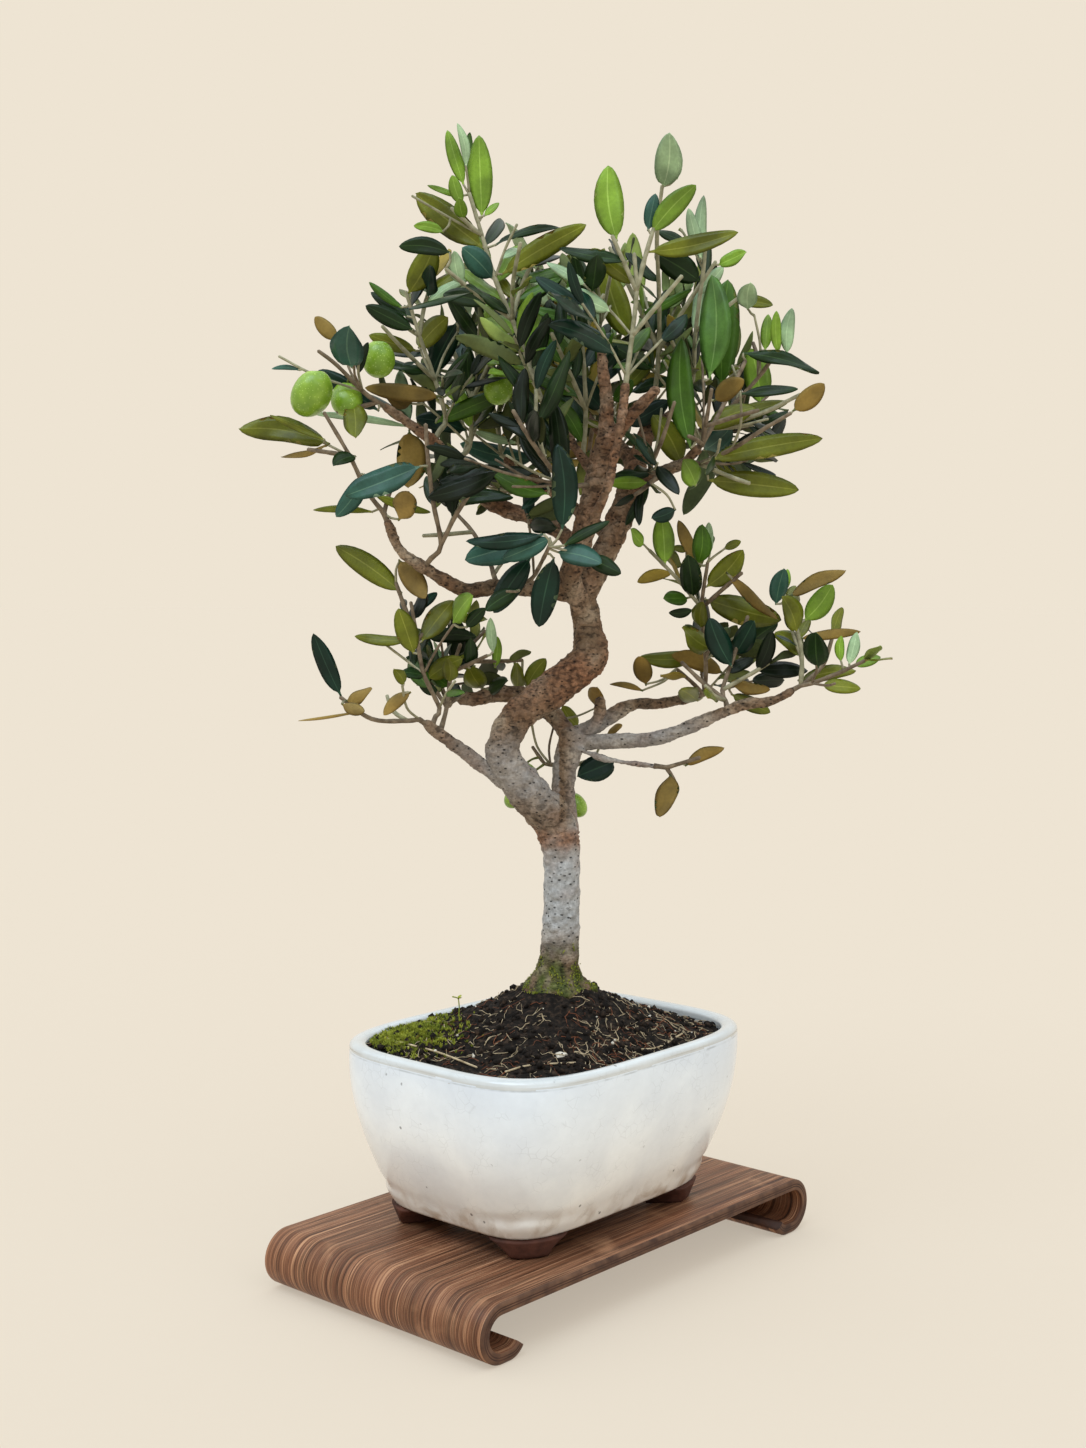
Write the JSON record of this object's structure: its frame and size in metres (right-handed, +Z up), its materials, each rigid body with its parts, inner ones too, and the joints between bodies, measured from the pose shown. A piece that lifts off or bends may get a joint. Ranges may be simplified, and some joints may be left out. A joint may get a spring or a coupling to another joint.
{
  "type": "olive bonsai",
  "caption": "Olive bonsai with a leaning forked trunk, open leafy crown and green fruit, in a rounded rectangular white glazed pot on a bent wooden stand.",
  "frame": {"origin": "centre of the part's box, on the floor under the stand", "axes": "+Z up along the tree's height, +X along the stand's length, to the right of the stand's long front edge"},
  "size_m": [0.2658, 0.2584, 0.5375],
  "materials": {
    "bark": "rough grey-brown bark",
    "foliage": "satin leathery leaves",
    "walnut": "oiled satin walnut ply",
    "glaze": "glossy off-white glaze",
    "soil": "dry dark potting soil",
    "clay": "matte unglazed brown clay"
  },
  "bodies": {
    "root": {"trunk": "bark", "right_stem": "bark", "back_left_bough": "bark", "low_right_bough": "bark", "high_right_bough": "bark", "under_right_bough": "bark", "knuckle_stub": "bark", "low_left_bough": "bark", "mid_left_bough": "bark", "fore_bough": "bark", "fore_stub": "bark", "fore_side_stub": "bark", "fore_leader": "bark", "high_left_bough": "bark", "left_leader_bough": "bark", "right_crown_bough": "bark", "back_bough": "bark", "back_left_crown_bough": "bark", "back_right_crown_bough": "bark", "top_left_leader": "foliage", "top_middle_leader": "foliage", "top_right_leader": "foliage", "front_right_shoot": "foliage", "right_pale_shoot": "foliage", "right_upper_shoot": "foliage", "right_edge_shoot": "foliage", "front_shoot": "foliage", "front_upper_shoot": "foliage", "front_middle_shoot": "foliage", "middle_shoot": "foliage", "inner_left_shoot": "foliage", "left_crown_shoot": "foliage", "left_fruit_shoot": "foliage", "left_edge_shoot": "foliage", "mid_left_shoot": "foliage", "inner_mid_left_shoot": "foliage", "heart_left_shoot": "foliage", "back_top_left_shoot": "foliage", "back_top_shoot": "foliage", "back_top_right_shoot": "foliage", "back_left_shoot": "foliage", "back_middle_shoot": "foliage", "back_right_shoot": "foliage", "low_left_shoot": "foliage", "low_left_edge_shoot": "foliage", "low_left_inner_shoot": "foliage", "low_back_left_shoot": "foliage", "fork_shoot": "foliage", "low_right_back_shoot": "foliage", "low_right_shoot": "foliage", "right_tip_shoot": "foliage", "under_right_shoot": "foliage", "stand": "walnut", "pot": "glaze", "soil": "soil", "foot_right_back": "clay", "foot_left_back": "clay", "foot_left_front": "clay", "foot_right_front": "clay"}
  },
  "joints": []
}
